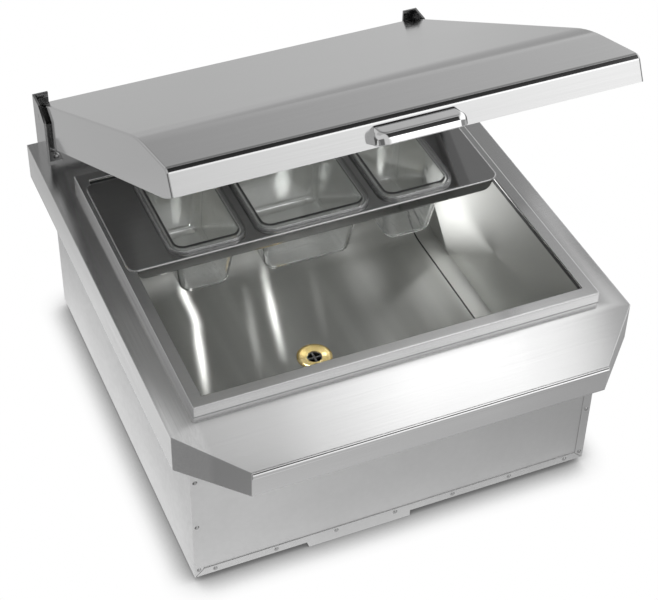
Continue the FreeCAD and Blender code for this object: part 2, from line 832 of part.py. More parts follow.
# Hinge brackets: a side plate with a foot and a rear flange, both folded in
for side, label in ((-1, "left_hinge_bracket"), (1, "right_hinge_bracket")):
    bracket = start_body(label)
    plate = start_sketch(bracket, "YZ_Plane", side * bracket_inside)
    draw_outline(plate, [
        (bracket_front, deck_level),
        (deck_rear, deck_level),
        (deck_rear, bracket_top),
        (bracket_front + bracket_slope_run, bracket_top),
        (bracket_front, bracket_top - bracket_slope_drop),
    ])
    draw_circle(plate, pivot_along, pivot_level, pin_radius + pin_clearance)
    extrude(bracket, "Pad", plate, bracket_plate, back=side < 0)
    foot = start_sketch(bracket, "XY_Plane", deck_level)
    draw_outline(foot, box_corners(
        side * bracket_inside, side * (bracket_inside - bracket_flange), bracket_front, deck_rear))
    for spot in bracket_screw_spots(side):
        draw_circle(foot, spot[0], spot[1], bracket_screw_hole)
    extrude(bracket, "Pad", foot, bracket_plate)
    wing = start_sketch(bracket, "XZ_Plane", -deck_rear)
    draw_outline(wing, box_corners(
        side * bracket_inside, side * (bracket_inside - bracket_flange), deck_level, bracket_top))
    extrude(bracket, "Pad", wing, bracket_plate)

# Domed screws that hold the bracket feet to the deck
screws = []
for side in (-1, 1):
    for across, along in bracket_screw_spots(side):
        shank = document.addObject("Part::Cylinder", "Shank")
        bind(shank, "Radius", bracket_screw_shank)
        bind(shank, "Height", bracket_screw_length)
        place(shank, across, along, deck_level + bracket_plate - bracket_screw_length)
        head = document.addObject("Part::Sphere", "Head")
        bind(head, "Radius", bracket_screw_head)
        head.Angle1 = 0
        place(head, across, along, deck_level + bracket_plate)
        screw = document.addObject("Part::MultiFuse", "Screw")
        screw.Shapes = [shank, head]
        screws.append(screw)
group = document.addObject("Part::Compound", "bracket_screws")
group.Links = screws
keep(group, "bracket_screws")


def rod(name, start, end, radius):
    """A round bar along X at the lid's pivot, between two places."""
    bar = document.addObject("Part::Cylinder", name)
    bar.Placement.Rotation = FreeCAD.Rotation(FreeCAD.Vector(0, 1, 0), 90)
    bind(bar, "Radius", radius)
    bind(bar, "Height", end - start)
    place(bar, start, pivot_along, pivot_level)
    return bar


def tube(name, start, end, outer, inner):
    wide = rod("Outer", start, end, outer)
    bore = rod("Bore", start - past, end + past, inner)
    pipe = document.addObject("Part::Cut", name)
    pipe.Base = wide
    pipe.Tool = bore
    return pipe


# Pivot pins, flush with the brackets' outsides, with a spacing washer inside each
plate_outside = bracket_inside + bracket_plate
pin_end = half_lid - pin_reach
bore = pin_radius + pin_clearance
for side, word in ((-1, "left"), (1, "right")):
    if side < 0:
        pin = rod("Pin", -plate_outside, -pin_end, pin_radius)
        washer = tube("Washer", -bracket_inside, -half_lid - washer_gap, washer_radius, bore)
    else:
        pin = rod("Pin", pin_end, plate_outside, pin_radius)
        washer = tube("Washer", half_lid + washer_gap, bracket_inside, washer_radius, bore)
    keep(pin, word + "_pivot_pin")
    keep(washer, word + "_pivot_washer")

# Lid pieces are drawn closed, about the pivot, and turned to the rest angle
lid_rear = lid_pivot_inset
lid_front = deck_crease - lid_overhang - pivot_along
lid_top = lid_pivot_depth
lid_under = lid_pivot_depth - lid_depth
lip_bottom = lid_under + lid_lip_rise
lid_slope = lid_slope_drop / lid_slope_run
lid_lean = 1 + lid_slope * lid_slope / 2


def hang(body):
    """Put a lid piece on the pivot at the lid's rest angle."""
    place(body, 0, pivot_along, pivot_level)
    body.Placement.Rotation = FreeCAD.Rotation(FreeCAD.Vector(1, 0, 0), -lid_rest_angle.number)
    bind(body, "Placement.Rotation.Angle", lid_rest_angle)
    body.setExpression("Placement.Rotation.Axis.x", "-1")
    body.setExpression("Placement.Rotation.Axis.y", "0")
    body.setExpression("Placement.Rotation.Axis.z", "0")


def lid_outline(inset, front):
    """The lid's side outline, moved in by a sheet thickness and back from the lip."""
    lip_top = lid_top - lid_slope_drop + (inset + front) * lid_slope - inset * lid_lean
    return [
        (lid_rear - inset, lid_under + inset),
        (lid_rear - inset, lid_top - inset, lid_rear_round),
        (lid_front + lid_slope_run + inset * lid_slope / 2, lid_top - inset, lid_bend),
        (lid_front + inset + front, lip_top, lid_lip_bend),
        (lid_front + inset + front, lip_bottom + inset),
        (lid_front + lid_lip_taper, lid_under + inset),
    ]


def on_lid_side(box):
    """The edges of the lid's two sides, but for those along the underside."""
    return box.XLength < hair and box.ZMax > lip_bottom.number + hair


cover = start_body("lid_shell")
profile = start_sketch(cover, "YZ_Plane", 0)
draw_outline(profile, lid_outline(as_size(0), as_size(0)))
folded = extrude(cover, "Pad", profile, half_lid * 2, middle=True)
fillet(cover, folded, on_lid_side, lid_edge)
hollow = start_sketch(cover, "YZ_Plane", 0)
draw_outline(hollow, lid_outline(lid_sheet, as_size(0)))
extrude(cover, "Pocket", hollow, (half_lid - lid_sheet) * 2, middle=True)
dish_side = half_lid - lid_return
dish_rear = lid_rear - lid_rear_return
dish_front = lid_front + lid_lip_taper
mouth = start_sketch(cover, "XY_Plane", lid_under - past)
draw_outline(mouth, box_corners(-dish_side, dish_side, dish_front, dish_rear))
extrude(cover, "Pocket", mouth, lid_sheet + past * 2, back=True)
for side in (-1, 1):
    hole = start_sketch(cover, "YZ_Plane", side * (half_lid + past))
    draw_circle(hole, 0, 0, bush_radius + bush_seat)
    extrude(cover, "Pocket", hole, lid_sheet + past * 2, back=side < 0)
pull_top = lid_top - pull_drop
screw_level = pull_top - pull_screw_drop
for side in (-1, 1):
    hole = start_sketch(cover, "XZ_Plane", past - lid_front)
    draw_circle(hole, side * (pull_length - pull_boss) / 2, screw_level, pull_screw + bush_seat)
    extrude(cover, "Pocket", hole, lid_sheet + past * 2)
hang(cover)

# Recessed liner in the underside of the lid
dish = start_body("lid_liner")
plan = start_sketch(dish, "XY_Plane", lid_under)
draw_outline(plan, box_corners(-dish_side, dish_side, dish_front, dish_rear))
block = extrude(dish, "Pad", plan, lid_recess + lid_sheet)
shell(dish, block, lambda spot: spot.z < lid_under.number + hair, lid_sheet)
hang(dish)

# Foam in the lid, cut away round the liner and the two pivots
core = start_body("lid_insulation")
profile = start_sketch(core, "YZ_Plane", 0)
draw_outline(profile, lid_outline(lid_sheet + lid_foam_gap, lid_foam_front))
extrude(core, "Pad", profile, (half_lid - lid_sheet - lid_foam_gap) * 2, middle=True)
room = start_sketch(core, "XY_Plane", lid_under)
draw_outline(room, box_corners(-dish_side, dish_side, dish_front - lid_foam_setback, dish_rear))
extrude(core, "Pocket", room, lid_recess + lid_sheet, back=True)
for side in (-1, 1):
    pocket = start_sketch(core, "YZ_Plane", side * half_lid)
    draw_outline(pocket, box_corners(-lid_pocket, lid_rear + past, -lid_pocket_drop, lid_top + past))
    extrude(core, "Pocket", pocket, pin_reach + lid_pocket_play, back=side < 0)
hang(core)

# Plastic bushes in the lid's sides, turning on the pins
for side, label in ((-1, "left_lid_bush"), (1, "right_lid_bush")):
    bush = start_body(label)
    sleeve = start_sketch(bush, "YZ_Plane", side * half_lid)
    draw_circle(sleeve, 0, 0, bush_radius)
    draw_circle(sleeve, 0, 0, bore)
    extrude(bush, "Pad", sleeve, bush_length, back=side > 0)
    collar = start_sketch(bush, "YZ_Plane", side * (half_lid - lid_sheet))
    draw_circle(collar, 0, 0, bush_flange)
    draw_circle(collar, 0, 0, bore)
    extrude(bush, "Pad", collar, bush_flange_thick, back=side > 0)
    hang(bush)

# Hooded pull on the lid's front lip: its top falls forward and it is open below
pull = start_body("lid_pull")
half_pull = pull_length / 2
pull_front = lid_front - pull_reach
pull_foot = pull_top - pull_height
side_view = start_sketch(pull, "YZ_Plane", 0)
draw_outline(side_view, [
    (lid_front, pull_foot),
    (pull_front, pull_foot),
    (pull_front, pull_top - pull_fall),
    (lid_front, pull_top),
])
hood = extrude(pull, "Pad", side_view, pull_length, middle=True)


def on_pull_corner(box):
    """The two upright front corners of the pull."""
    upright = box.XLength < hair and box.YLength < hair
    return upright and box.YMax < pull_front.number + hair


hood = fillet(pull, hood, on_pull_corner, pull_corner)
room = start_sketch(pull, "YZ_Plane", 0)
draw_outline(room, [
    (lid_front + past, pull_foot - past),
    (pull_front + pull_wall, pull_foot - past),
    (pull_front + pull_wall, pull_top - pull_fall - pull_wall, pull_inner_corner),
    (lid_front + past, pull_top - pull_wall),
])
hood = extrude(pull, "Pocket", room, pull_length - pull_boss * 2, middle=True)
for side in (-1, 1):
    hole = start_sketch(pull, "XZ_Plane", -lid_front)
    draw_circle(hole, side * (pull_length - pull_boss) / 2, screw_level, pull_screw)
    hood = extrude(pull, "Pocket", hole, pull_screw_bite + past, back=True)
room_side = half_pull.number - pull_boss.number


def on_pull_brow(box):
    """The outer edges of the top, away from the lip."""
    if box.YMin > lid_front.number - hair:
        return False
    return box.ZMin > (pull_top - pull_fall).number - hair


def on_pull_foot(box):
    """The outer edges of the foot, away from the lip."""
    if box.YMin > lid_front.number - hair:
        return False
    at_foot = box.ZMax < pull_foot.number + hair
    inside = box.XMin > -room_side - hair and box.XMax < room_side + hair
    in_front = box.YMax < pull_front.number + hair
    return at_foot and (in_front or not inside)


hood = fillet(pull, hood, on_pull_brow, pull_brow)
fillet(pull, hood, on_pull_foot, pull_round)
hang(pull)

# Screws through the lip into the pull
screws = start_body("pull_screws")
screws.AllowCompound = True
for side in (-1, 1):
    shank = start_sketch(screws, "XZ_Plane", -lid_front - lid_sheet)
    draw_circle(shank, side * (pull_length - pull_boss) / 2, screw_level, pull_screw)
    extrude(screws, "Pad", shank, pull_screw_bite + lid_sheet)
    head = start_sketch(screws, "XZ_Plane", -lid_front - lid_sheet - pull_screw_head_thick)
    draw_circle(head, side * (pull_length - pull_boss) / 2, screw_level, pull_screw_head)
    extrude(screws, "Pad", head, pull_screw_head_thick)
hang(screws)

# Tray that lies across the rim and slides fore and aft on it
half_tray = half_opening + tray_overlap
tray_rear = opening_rear - tray_rear_gap
tray_middle = tray_rear - tray_margin - pan_length / 2
tray_front = tray_middle - pan_length / 2 - tray_margin
pan_spacing = small_pan_width / 2 + large_pan_width / 2 + pan_gap
half_lip = half_opening - tray_lip_play
tray = start_body("pan_tray")
plate = start_sketch(tray, "XY_Plane", rim_top)
draw_outline(plate, round_corners(-half_tray, half_tray, tray_front, tray_rear, tray_corner))
extrude(tray, "Pad", plate, tray_sheet)
lip = start_sketch(tray, "XZ_Plane", -tray_front)
draw_outline(lip, [
    (-half_lip, rim_top),
    (-half_lip, rim_top - tray_lip, tray_corner),
    (half_lip, rim_top - tray_lip, tray_corner),
    (half_lip, rim_top),
])
extrude(tray, "Pad", lip, tray_sheet, back=True)
bend = start_sketch(tray, "YZ_Plane", 0)
draw_outline(bend, [
    (tray_front - past, tray_top - tray_bend - past),
    (tray_front, tray_top - tray_bend - past),
    (tray_front, tray_top, tray_bend),
    (tray_front + tray_bend + past, tray_top),
    (tray_front + tray_bend + past, tray_top + past),
    (tray_front - past, tray_top + past),
])
extrude(tray, "Pocket", bend, half_lip * 2, middle=True)
lip = start_sketch(tray, "XZ_Plane", -tray_rear)
draw_outline(lip, box_corners(-half_lip, half_lip, rim_top - tray_rear_lip, rim_top))
extrude(tray, "Pad", lip, tray_sheet)
pans = (
    ("left_pan", -pan_spacing, small_pan_width),
    ("middle_pan", as_size(0), large_pan_width),
    ("right_pan", pan_spacing, small_pan_width),
)
for label, middle, width in pans:
    hole = start_sketch(tray, "XY_Plane", tray_top + past)
    half_hole = width / 2 - pan_rim + pan_hole_play
    half_length = pan_length / 2 - pan_rim + pan_hole_play
    draw_outline(hole, round_corners(
        middle - half_hole, middle + half_hole, tray_middle - half_length, tray_middle + half_length,
        pan_rim_corner - pan_rim + pan_hole_play))
    extrude(tray, "Pocket", hole, tray_sheet + past * 2)
bind(tray, "Placement.Base.x", tray_shift)

# Clear pans, tapered, hanging in the tray by a folded rim


def lean(body, feature, way, fall, drop):
    """Let the two faces that look along one axis lean in by a fall over a drop."""
    document.recompute()
    sides = []
    for index, face in enumerate(feature.Shape.Faces):
        if abs(getattr(face.normalAt(0, 0), way)) > 1 - hair:
            sides.append("Face%d" % (index + 1))
    brim = faces_where(feature, lambda spot: spot.z > pan_rim_height.number - hair)
    leaning = body.newObject("PartDesign::Draft", "Draft")
    leaning.Base = (feature, sides)
    leaning.NeutralPlane = (feature, brim)
    leaning.Reversed = True
    leaning.setExpression("Angle", "atan(%s)" % (fall / drop).text)
    body.Tip = leaning
    return leaning


def taper(body, half_wide, half_long, corner, depth):
    """A block that narrows downwards, with its corners and foot rounded alike."""
    brim = start_sketch(body, "XY_Plane", pan_rim_height)
    draw_outline(brim, box_corners(-half_wide, half_wide, -half_long, half_long))
    block = extrude(body, "Pad", brim, depth, back=True)
    block = lean(body, block, "x", pan_taper_wide, depth)
    block = lean(body, block, "y", pan_taper_long, depth)
    fillet(body, block, lambda box: box.ZMin < pan_rim_height.number - hair, corner)


for label, middle, width in pans:
    half_wide = width / 2 - pan_rim
    half_long = pan_length / 2 - pan_rim
    wall_corner = pan_rim_corner - pan_rim
    outer = document.addObject("PartDesign::Body", "Outer")
    taper(outer, half_wide, half_long, wall_corner, pan_depth)
    collar = start_sketch(outer, "XY_Plane", 0)
    draw_outline(collar, round_corners(
        -width / 2, width / 2, -pan_length / 2, pan_length / 2, pan_rim_corner))
    extrude(outer, "Pad", collar, pan_rim_height)
    under = start_sketch(outer, "XY_Plane", 0)
    draw_outline(under, round_corners(
        pan_wall - width / 2, width / 2 - pan_wall, pan_wall - pan_length / 2, pan_length / 2 - pan_wall,
        pan_rim_corner - pan_wall))
    draw_outline(under, round_corners(-half_wide, half_wide, -half_long, half_long, wall_corner))
    extrude(outer, "Pocket", under, pan_rim_height - pan_wall, back=True)
    inner = document.addObject("PartDesign::Body", "Inner")
    taper(inner, half_wide - pan_wall, half_long - pan_wall, wall_corner - pan_wall, pan_depth - pan_wall)
    for half in (outer, inner):
        place(half, middle + tray_shift, tray_middle, tray_top)
    pan = document.addObject("Part::Cut", label)
    pan.Base = outer
    pan.Tool = inner
    keep(pan, label)

document.recompute()

# Stop if any piece is broken, then write each one out
for thing in document.Objects:
    if "Invalid" in thing.State or "Error" in thing.State:
        raise RuntimeError("broken: " + thing.Name + " " + thing.Label)
for node in nodes:
    if node.Shape.isNull() or not node.Shape.isValid():
        raise RuntimeError("not a good shape: " + node.Label)
os.makedirs("parts", exist_ok=True)
for node in nodes:
    node.Shape.exportStep(os.path.join("parts", node.Label + ".step"))
print("pieces written:", len(nodes))
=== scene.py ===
import math

import bpy
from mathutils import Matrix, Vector


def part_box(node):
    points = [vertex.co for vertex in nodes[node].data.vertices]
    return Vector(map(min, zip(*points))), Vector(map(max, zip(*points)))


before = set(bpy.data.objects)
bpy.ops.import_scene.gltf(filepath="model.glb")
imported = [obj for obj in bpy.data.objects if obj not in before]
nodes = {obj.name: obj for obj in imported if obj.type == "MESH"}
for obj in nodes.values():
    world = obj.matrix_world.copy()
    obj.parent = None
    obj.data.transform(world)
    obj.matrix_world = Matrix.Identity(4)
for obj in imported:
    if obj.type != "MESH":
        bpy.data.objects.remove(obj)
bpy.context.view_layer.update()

# Camera, worked out from straight edges in the photograph
PHOTO_WIDTH = 658
FOCAL_PIXELS = 1742.1
AXIS_PIXEL_X = 280
SENSOR_MM = 36.0
CAMERA_AZIMUTH = math.radians(22.01)
CAMERA_ELEVATION = math.radians(42.04)
CAMERA_DISTANCE = 2.5523
CAMERA_TARGET = Vector((0.0024, 0.1598, 0.0478))
CLIP_END = 50

# How far noise is drawn out: brushing along one axis, or no direction
ALONG_X = (6, 900, 900)
ALONG_Y = (900, 6, 900)
ALONG_Z = (900, 900, 6)
EVENLY = (1, 1, 1)
CLOUDS = 5.0


def add_camera():
    flat = math.cos(CAMERA_ELEVATION)
    forward = Vector((
        math.sin(CAMERA_AZIMUTH) * flat, math.cos(CAMERA_AZIMUTH) * flat,
        -math.sin(CAMERA_ELEVATION)))
    data = bpy.data.cameras.new("camera")
    data.sensor_fit = "HORIZONTAL"
    data.sensor_width = SENSOR_MM
    data.lens = FOCAL_PIXELS * SENSOR_MM / PHOTO_WIDTH
    data.shift_x = (PHOTO_WIDTH / 2 - AXIS_PIXEL_X) / PHOTO_WIDTH
    data.clip_end = CLIP_END
    camera = bpy.data.objects.new("camera", data)
    camera.location = CAMERA_TARGET - forward * CAMERA_DISTANCE
    camera.rotation_euler = forward.to_track_quat("-Z", "Y").to_euler()
    bpy.context.scene.collection.objects.link(camera)
    bpy.context.scene.camera = camera


class Shader:
    """A node tree, by default a new material's, with short ways to add and join nodes."""

    def __init__(self, name, tree=None):
        if tree is None:
            self.material = bpy.data.materials.new(name)
            self.material.use_nodes = True
            tree = self.material.node_tree
            self.surface = tree.nodes["Principled BSDF"]
        self.tree = tree

    def node(self, kind, **settings):
        made = self.tree.nodes.new(kind)
        for name, value in settings.items():
            setattr(made, name, value)
        return made

    def join(self, source, target):
        self.tree.links.new(source, target)

    def set(self, **values):
        for name, value in values.items():
            self.surface.inputs[name.replace("_", " ")].default_value = value

    def stretched_noise(self, scale, stretch, detail=3.0):
        """Noise in the object's own space, drawn out by a scale for each axis."""
        place = self.node("ShaderNodeTexCoord")
        mapping = self.node("ShaderNodeMapping")
        mapping.inputs["Scale"].default_value = stretch
        noise = self.node("ShaderNodeTexNoise")
        noise.inputs["Scale"].default_value = scale
        noise.inputs["Detail"].default_value = detail
        self.join(place.outputs["Object"], mapping.inputs["Vector"])
        self.join(mapping.outputs["Vector"], noise.inputs["Vector"])
        return noise.outputs["Fac"]

    def ramp(self, source, stops):
        """A colour ramp; each stop is (place, (red, green, blue))."""
        ramp = self.node("ShaderNodeValToRGB")
        elements = ramp.color_ramp.elements
        while len(elements) < len(stops):
            elements.new(0.5)
        for element, (place, colour) in zip(elements, stops):
            element.position = place
            element.color = (*colour, 1)
        self.join(source, ramp.inputs["Fac"])
        return ramp.outputs["Color"]

    def span(self, source, low, high):
        """A value from 0 to 1 between two bounds."""
        between = self.node("ShaderNodeMapRange")
        between.inputs["From Min"].default_value = low
        between.inputs["From Max"].default_value = high
        self.join(source, between.inputs["Value"])
        return between.outputs["Result"]

    def mix(self, low, high, factor, blend="MIX"):
        """A colour between two others."""
        mixed = self.node("ShaderNodeMix", data_type="RGBA", blend_type=blend)
        if factor is None:
            mixed.inputs["Factor"].default_value = 1
        else:
            self.join(factor, mixed.inputs["Factor"])
        self.join(low, mixed.inputs["A"])
        self.join(high, mixed.inputs["B"])
        return mixed.outputs["Result"]

    def place(self, output="Object"):
        """The sockets for X, Y and Z of a texture coordinate."""
        coordinate = self.node("ShaderNodeTexCoord")
        split = self.node("ShaderNodeSeparateXYZ")
        self.join(coordinate.outputs[output], split.inputs["Vector"])
        return split.outputs

    def math(self, operation, first, second=None):
        step = self.node("ShaderNodeMath", operation=operation)
        self.join(first, step.inputs[0])
        if isinstance(second, (int, float)):
            step.inputs[1].default_value = second
        elif second is not None:
            self.join(second, step.inputs[1])
        return step.outputs["Value"]

    def grain(self, axis, amount):
        """Gloss drawn out across the brushing, which runs round an axis."""
        tangent = self.node("ShaderNodeTangent", direction_type="RADIAL", axis=axis)
        self.join(tangent.outputs["Tangent"], self.surface.inputs["Tangent"])
        self.set(Anisotropic=amount)

    def bump(self, source, strength, distance, corner=0.0):
        """Fine relief, over corners that are shaded as if they were rounded."""
        bump = self.node("ShaderNodeBump")
        if corner:
            rounded = self.node("ShaderNodeBevel", samples=8)
            rounded.inputs["Radius"].default_value = corner
            self.join(rounded.outputs["Normal"], bump.inputs["Normal"])
        bump.inputs["Strength"].default_value = strength
        bump.inputs["Distance"].default_value = distance
        self.join(source, bump.inputs["Height"])
        self.join(bump.outputs["Normal"], self.surface.inputs["Normal"])


def grey(value):
    return (value, value, value)


def greys(stops):
    """Stops for a ramp from pairs of place and level."""
    return [(place, grey(level)) for place, level in stops]


def warm_grey(value):
    return (value, value * (1 + LINER_WARMTH), value * (1 - 3 * LINER_WARMTH))


LINER_WARMTH = 0.01
LEFT_STRIP_X = (-0.266, -0.272)
BEAD_Y = (-0.3365, -0.3369)
THROAT_DEPTHS = (0.0055, 0.0035)
CRYSTALS = 120
CLEAR_TINT = (0.95, 0.96, 0.96, 1)


def brushed_steel(name, tone, roughness, stretch, grain=0.03, axis="X", metallic=1.0, corner=0.0):
    """Stainless sheet: fine drawn-out grain in colour, roughness and relief."""
    shader = Shader(name)
    lines = shader.stretched_noise(1.0, stretch)
    clouds = shader.stretched_noise(CLOUDS, EVENLY)
    colour = shader.ramp(lines, greys(((0.25, tone * (1 - grain)), (0.75, tone * (1 + grain)))))
    shader.join(colour, shader.surface.inputs["Base Color"])
    rough = shader.ramp(clouds, greys(((0.3, roughness * 0.9), (0.7, roughness * 1.1))))
    shader.join(rough, shader.surface.inputs["Roughness"])
    shader.bump(lines, 0.03, 0.0003, corner)
    shader.grain(axis, 0.5)
    shader.set(Metallic=metallic)
    return shader.material


def deck_steel():
    """The deck's sheet, brushed across but lengthwise on the left, where painted light makes it
    lighter, with a polished bead.
    """
    shader = Shader("deck_steel")
    left = shader.span(shader.place()["X"], *LEFT_STRIP_X)
    front = shader.stretched_noise(1.0, ALONG_X)
    sides = shader.stretched_noise(1.0, ALONG_Y)
    front_tone = shader.ramp(front, greys(((0.25, 0.61), (0.75, 0.65))))
    # The left strip's lengthwise grain is real; its lighter tone is painted light
    side_tone_painted_lighter = shader.ramp(sides, greys(((0.25, 0.64), (0.75, 0.76))))
    shader.join(shader.mix(front_tone, side_tone_painted_lighter, left), shader.surface.inputs["Base Color"])
    clouds = shader.stretched_noise(CLOUDS, EVENLY)
    rough = shader.ramp(clouds, greys(((0.3, 0.19), (0.7, 0.24))))
    polished = shader.ramp(clouds, greys(((0.3, 0.04), (0.7, 0.06))))
    bead = shader.span(shader.place()["Y"], *BEAD_Y)
    shader.join(shader.mix(rough, polished, bead), shader.surface.inputs["Roughness"])
    shader.bump(front, 0.02, 0.0003, 0.0015)
    shader.grain("X", 0.4)
    shader.set(Metallic=1.0)
    return shader.material


def satin_steel(name, dark, light, roughness):
    """The bin's satin sheet, a little uneven from side to side."""
    shader = Shader(name)
    bands = shader.stretched_noise(1.0, (30, 1.2, 1.2), 1.0)
    lines = shader.stretched_noise(1.0, ALONG_X)
    colour = shader.ramp(bands, [
        (0.35, warm_grey(dark)), (0.55, warm_grey(dark * 1.08)), (0.70, warm_grey(light))])
    shader.join(colour, shader.surface.inputs["Base Color"])
    rough = shader.ramp(lines, greys(((0.3, roughness * 0.95), (0.7, roughness * 1.05))))
    shader.join(rough, shader.surface.inputs["Roughness"])
    shader.grain("X", 0.7)
    shader.set(Metallic=0.72, Specular_IOR_Level=0.3)
    return shader.material


def galvanised_sheet(name, low, high, roughness):
    """Dull coated sheet with a faint crystal pattern."""
    shader = Shader(name)
    place = shader.node("ShaderNodeTexCoord")
    cells = shader.node("ShaderNodeTexVoronoi")
    cells.inputs["Scale"].default_value = CRYSTALS
    shader.join(place.outputs["Object"], cells.inputs["Vector"])
    clouds = shader.stretched_noise(8.0, EVENLY)
    colour = shader.ramp(clouds, greys(((0.3, low), (0.7, high))))
    shader.join(colour, shader.surface.inputs["Base Color"])
    crystal = cells.outputs["Distance"]
    rough = shader.ramp(crystal, greys(((0.0, roughness * 0.9), (0.8, roughness * 1.1))))
    shader.join(rough, shader.surface.inputs["Roughness"])
    shader.bump(clouds, 0.05, 0.002)
    shader.set(Metallic=1.0)
    return shader.material


def plain_solid(name, low, high, roughness, scale=60.0, metallic=0.0, bump=0.05):
    """A moulded or plated surface with a little mottling."""
    shader = Shader(name)
    noise = shader.stretched_noise(scale, EVENLY)
    shader.join(shader.ramp(noise, [(0.3, low), (0.7, high)]), shader.surface.inputs["Base Color"])
    rough = shader.ramp(noise, greys(((0.3, roughness * 0.8), (0.7, roughness * 1.2))))
    shader.join(rough, shader.surface.inputs["Roughness"])
    shader.bump(noise, bump, 0.0005)
    shader.set(Metallic=metallic)
    return shader.material


def turned_brass():
    """Bright turned brass, darkened down the drain's throat with painted shade."""
    shader = Shader("drain_brass")
    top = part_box("drain_fitting")[1][2]
    low, high = (top - depth for depth in THROAT_DEPTHS)
    near_top = shader.span(shader.place()["Z"], low, high)
    mottle = shader.stretched_noise(60.0, EVENLY)
    bright = shader.ramp(mottle, [(0.3, (0.90, 0.66, 0.24)), (0.7, (0.98, 0.80, 0.40))])
    # Painted shade: the brass turns dark down the throat, below its top
    throat_painted_shade = shader.ramp(mottle, [(0.3, (0.05, 0.045, 0.035)), (0.7, (0.10, 0.09, 0.07))])
    shader.join(shader.mix(throat_painted_shade, bright, near_top), shader.surface.inputs["Base Color"])
    rough = shader.ramp(mottle, greys(((0.3, 0.22), (0.7, 0.3))))
    shader.join(rough, shader.surface.inputs["Roughness"])
    shader.grain("Z", 0.8)
    shader.set(Metallic=0.8)
    return shader.material


def clear_plastic():
    """Thin moulded clear plastic with a glossy skin; light falls through it."""
    shader = Shader("clear_plastic")
    noise = shader.stretched_noise(55.0, EVENLY, 1.0)
    rough = shader.ramp(noise, greys(((0.3, 0.01), (0.7, 0.03))))
    shader.join(rough, shader.surface.inputs["Roughness"])
    shader.bump(noise, 0.5, 0.0012)
    shader.set(Base_Color=CLEAR_TINT, Transmission_Weight=1.0, IOR=1.2)
    shader.set(Coat_Weight=1.0, Coat_IOR=2.4, Coat_Roughness=0.03)
    path = shader.node("ShaderNodeLightPath")
    through = shader.node("ShaderNodeBsdfTransparent")
    through.inputs["Color"].default_value = CLEAR_TINT
    choose = shader.node("ShaderNodeMixShader")
    shader.join(path.outputs["Is Shadow Ray"], choose.inputs["Fac"])
    shader.join(shader.surface.outputs["BSDF"], choose.inputs[1])
    shader.join(through.outputs["BSDF"], choose.inputs[2])
    shader.join(choose.outputs["Shader"], shader.tree.nodes["Material Output"].inputs["Surface"])
    return shader.material


looks = {
    "deck_top": deck_steel(),
    "coaming": brushed_steel("rim_steel", 0.61, 0.15, ALONG_X, corner=0.002),
    "bin_liner": satin_steel("liner_steel", 0.52, 0.62, 0.36),
    "casing": galvanised_sheet("casing_steel", 0.56, 0.60, 0.42),
    "lid_shell": brushed_steel("lid_steel", 0.57, 0.1, ALONG_X),
    "lid_liner": brushed_steel("lid_liner_steel", 0.62, 0.35, ALONG_X, metallic=0.75),
    "pan_tray": brushed_steel("tray_steel", 0.4, 0.1, ALONG_X, corner=0.003),
    "bracket": brushed_steel("bracket_steel", 0.45, 0.2, ALONG_Z, axis="Z"),
    "fixing": plain_solid("fixing_steel", grey(0.3), grey(0.45), 0.25, metallic=1.0),
    "chrome": plain_solid("chrome", grey(0.80), grey(0.84), 0.05, metallic=1.0, bump=0.0),
    "brass": turned_brass(),
    "dark": plain_solid("dark_plastic", grey(0.02), grey(0.04), 0.5),
    "seal": plain_solid("black_sealant", grey(0.008), grey(0.02), 0.6),
    "foam": plain_solid("foam", (0.75, 0.66, 0.42), (0.85, 0.76, 0.52), 0.8, scale=300.0),
    "clear": clear_plastic(),
}

node_looks = {
    "deck_top": "deck_top", "coaming": "coaming", "bin_liner": "bin_liner", "lid_shell": "lid_shell",
    "lid_liner": "lid_liner", "pan_tray": "pan_tray", "lid_pull": "chrome",
    "left_side_panel": "casing", "right_side_panel": "casing", "front_panel": "casing",
    "rear_panel": "casing", "bottom_pan": "casing", "drain_channel": "casing",
    "left_hinge_bracket": "bracket", "right_hinge_bracket": "bracket",
    "front_casing_rivets": "fixing", "rear_casing_rivets": "fixing", "bracket_screws": "fixing",
    "left_pivot_pin": "fixing", "right_pivot_pin": "fixing", "pull_screws": "fixing",
    "drain_fitting": "brass", "drain_locknut": "brass", "drain_strainer": "dark",
    "breaker_strip": "dark", "left_pivot_washer": "dark", "right_pivot_washer": "dark",
    "left_lid_bush": "dark", "right_lid_bush": "dark",
    "floor_seam_sealant": "seal", "drain_washer": "seal",
    "bin_insulation": "foam", "lid_insulation": "foam",
    "left_pan": "clear", "middle_pan": "clear", "right_pan": "clear",
}

for name, look in node_looks.items():
    slots = nodes[name].data.materials
    slots.clear()
    slots.append(looks[look])


WELD_REACH = 0.00002
SHARP_ANGLE = math.radians(35)


def soften(name, width):
    """Small rounded edges that catch the light."""
    weld = nodes[name].modifiers.new("weld", "WELD")
    weld.merge_threshold = WELD_REACH
    bevel = nodes[name].modifiers.new("bevel", "BEVEL")
    bevel.width = width
    bevel.segments = 3
    bevel.limit_method = "ANGLE"
    bevel.angle_limit = SHARP_ANGLE
    normal = nodes[name].modifiers.new("normal", "WEIGHTED_NORMAL")
    normal.weight = 80


EDGES = {
    "deck_top": 0.0006, "coaming": 0.0005, "lid_shell": 0.0004, "pan_tray": 0.0004,
    "left_pan": 0.0012, "middle_pan": 0.0012, "right_pan": 0.0012,
}
for name, width in EDGES.items():
    soften(name, width)


FLOOR_SIZE = 30
FLOOR_DROP = 0.0005
SHADE_REACH = 0.045
# Tone of the floor to the camera, a painted shadow by how open the spot lies
FLOOR_SHADE = ((0.25, 0.12), (0.5, 0.3), (0.72, 0.62), (0.88, 0.9), (0.98, 1.0))
